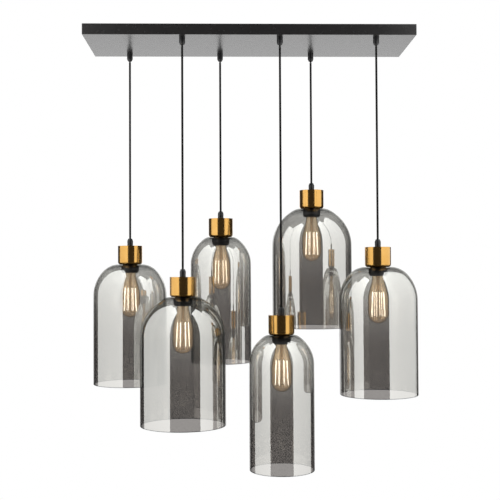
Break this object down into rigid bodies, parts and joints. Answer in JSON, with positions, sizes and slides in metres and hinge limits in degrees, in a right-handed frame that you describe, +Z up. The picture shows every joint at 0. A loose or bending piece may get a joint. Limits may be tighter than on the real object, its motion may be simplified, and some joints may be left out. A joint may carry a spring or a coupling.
{
  "type": "bar pendant light",
  "caption": "Bar pendant light: smoked glass bell shades with brass cups and filament bulbs hang on black braided cords from a long black ceiling bar.",
  "frame": {"origin": "on the ceiling, above the middle of the bar, between the two ceiling screws", "axes": "+Z up out of the ceiling face, +X along the bar to the viewer's right, +Y toward the back row, away from the viewer"},
  "size_m": [0.7732, 0.364, 1.026],
  "materials": {
    "black_coat": "black satin powder coat on folded steel sheet",
    "zinc_steel": "zinc-plated steel strip",
    "black_screw": "blackened steel screws",
    "black_plastic": "black moulded plastic, slightly satin",
    "braided_cord": "black braided textile sleeve over a round cord",
    "white_plastic": "white moulded plastic",
    "spun_brass": "polished spun brass with fine turning lines",
    "smoked_glass": "blown smoked glass, light grey and slightly mirrored",
    "amber_glass": "clear bulb glass with an amber tint",
    "bulb_metal": "brass-coloured screw cap and glowing filament cage"
  },
  "bodies": {
    "ceiling_bar": {"bar_canopy": "black_coat", "ceiling_bracket": "zinc_steel", "side_screws": "black_screw", "bar_cord_grips": "black_plastic", "cord_tails": "braided_cord", "terminal_block": "white_plastic"},
    "cord_bend_1": {"cord_root_1": "braided_cord"},
    "pendant_1": {"cord_1": "braided_cord", "cord_grip_1": "black_plastic", "brass_cup_1": "spun_brass", "lampholder_1": "black_plastic", "shade_ring_1": "black_plastic", "glass_shade_1": "smoked_glass"},
    "bulb_1": {"bulb_glass_1": "amber_glass", "bulb_base_1": "bulb_metal"},
    "cord_bend_2": {"cord_root_2": "braided_cord"},
    "pendant_2": {"cord_2": "braided_cord", "cord_grip_2": "black_plastic", "brass_cup_2": "spun_brass", "lampholder_2": "black_plastic", "shade_ring_2": "black_plastic", "glass_shade_2": "smoked_glass"},
    "bulb_2": {"bulb_glass_2": "amber_glass", "bulb_base_2": "bulb_metal"},
    "cord_bend_3": {"cord_root_3": "braided_cord"},
    "pendant_3": {"cord_3": "braided_cord", "cord_grip_3": "black_plastic", "brass_cup_3": "spun_brass", "lampholder_3": "black_plastic", "shade_ring_3": "black_plastic", "glass_shade_3": "smoked_glass"},
    "bulb_3": {"bulb_glass_3": "amber_glass", "bulb_base_3": "bulb_metal"},
    "cord_bend_4": {"cord_root_4": "braided_cord"},
    "pendant_4": {"cord_4": "braided_cord", "cord_grip_4": "black_plastic", "brass_cup_4": "spun_brass", "lampholder_4": "black_plastic", "shade_ring_4": "black_plastic", "glass_shade_4": "smoked_glass"},
    "bulb_4": {"bulb_glass_4": "amber_glass", "bulb_base_4": "bulb_metal"},
    "cord_bend_5": {"cord_root_5": "braided_cord"},
    "pendant_5": {"cord_5": "braided_cord", "cord_grip_5": "black_plastic", "brass_cup_5": "spun_brass", "lampholder_5": "black_plastic", "shade_ring_5": "black_plastic", "glass_shade_5": "smoked_glass"},
    "bulb_5": {"bulb_glass_5": "amber_glass", "bulb_base_5": "bulb_metal"},
    "cord_bend_6": {"cord_root_6": "braided_cord"},
    "pendant_6": {"cord_6": "braided_cord", "cord_grip_6": "black_plastic", "brass_cup_6": "spun_brass", "lampholder_6": "black_plastic", "shade_ring_6": "black_plastic", "glass_shade_6": "smoked_glass"},
    "bulb_6": {"bulb_glass_6": "amber_glass", "bulb_base_6": "bulb_metal"}
  },
  "joints": [
    {"name": "swing_front_back_1", "type": "hinge", "parent": "ceiling_bar", "child": "cord_bend_1", "pos_m": [-0.295, 0.0835, -0.043], "axis": [1, 0, 0], "range_deg": [-2.5, 30]},
    {"name": "swing_left_right_1", "type": "hinge", "parent": "cord_bend_1", "child": "pendant_1", "pos_m": [-0.295, 0.0835, -0.043], "axis": [0, -1, 0], "range_deg": [-30, 3]},
    {"name": "bulb_out_1", "type": "slide", "parent": "pendant_1", "child": "bulb_1", "axis": [0, 0, -1], "range_m": [0, 0.31]},
    {"name": "swing_front_back_2", "type": "hinge", "parent": "ceiling_bar", "child": "cord_bend_2", "pos_m": [-0.157, -0.0835, -0.043], "axis": [1, 0, 0], "range_deg": [-30, 1]},
    {"name": "swing_left_right_2", "type": "hinge", "parent": "cord_bend_2", "child": "pendant_2", "pos_m": [-0.157, -0.0835, -0.043], "axis": [0, -1, 0], "range_deg": [-3, 2.5]},
    {"name": "bulb_out_2", "type": "slide", "parent": "pendant_2", "child": "bulb_2", "axis": [0, 0, -1], "range_m": [0, 0.31]},
    {"name": "swing_front_back_3", "type": "hinge", "parent": "ceiling_bar", "child": "cord_bend_3", "pos_m": [-0.07, 0.0835, -0.043], "axis": [1, 0, 0], "range_deg": [-1, 30]},
    {"name": "swing_left_right_3", "type": "hinge", "parent": "cord_bend_3", "child": "pendant_3", "pos_m": [-0.07, 0.0835, -0.043], "axis": [0, -1, 0], "range_deg": [-2.5, 4]},
    {"name": "bulb_out_3", "type": "slide", "parent": "pendant_3", "child": "bulb_3", "axis": [0, 0, -1], "range_m": [0, 0.325]},
    {"name": "swing_front_back_4", "type": "hinge", "parent": "ceiling_bar", "child": "cord_bend_4", "pos_m": [0.07, -0.0835, -0.043], "axis": [1, 0, 0], "range_deg": [-30, 4]},
    {"name": "swing_left_right_4", "type": "hinge", "parent": "cord_bend_4", "child": "pendant_4", "pos_m": [0.07, -0.0835, -0.043], "axis": [0, -1, 0], "range_deg": [-3, 3.5]},
    {"name": "bulb_out_4", "type": "slide", "parent": "pendant_4", "child": "bulb_4", "axis": [0, 0, -1], "range_m": [0, 0.325]},
    {"name": "swing_front_back_5", "type": "hinge", "parent": "ceiling_bar", "child": "cord_bend_5", "pos_m": [0.157, 0.0835, -0.043], "axis": [1, 0, 0], "range_deg": [-3, 30]},
    {"name": "swing_left_right_5", "type": "hinge", "parent": "cord_bend_5", "child": "pendant_5", "pos_m": [0.157, 0.0835, -0.043], "axis": [0, -1, 0], "range_deg": [-4, 3.5]},
    {"name": "bulb_out_5", "type": "slide", "parent": "pendant_5", "child": "bulb_5", "axis": [0, 0, -1], "range_m": [0, 0.31]},
    {"name": "swing_front_back_6", "type": "hinge", "parent": "ceiling_bar", "child": "cord_bend_6", "pos_m": [0.295, -0.0835, -0.043], "axis": [1, 0, 0], "range_deg": [-30, 3]},
    {"name": "swing_left_right_6", "type": "hinge", "parent": "cord_bend_6", "child": "pendant_6", "pos_m": [0.295, -0.0835, -0.043], "axis": [0, -1, 0], "range_deg": [-3.5, 30]},
    {"name": "bulb_out_6", "type": "slide", "parent": "pendant_6", "child": "bulb_6", "axis": [0, 0, -1], "range_m": [0, 0.31]}
  ]
}
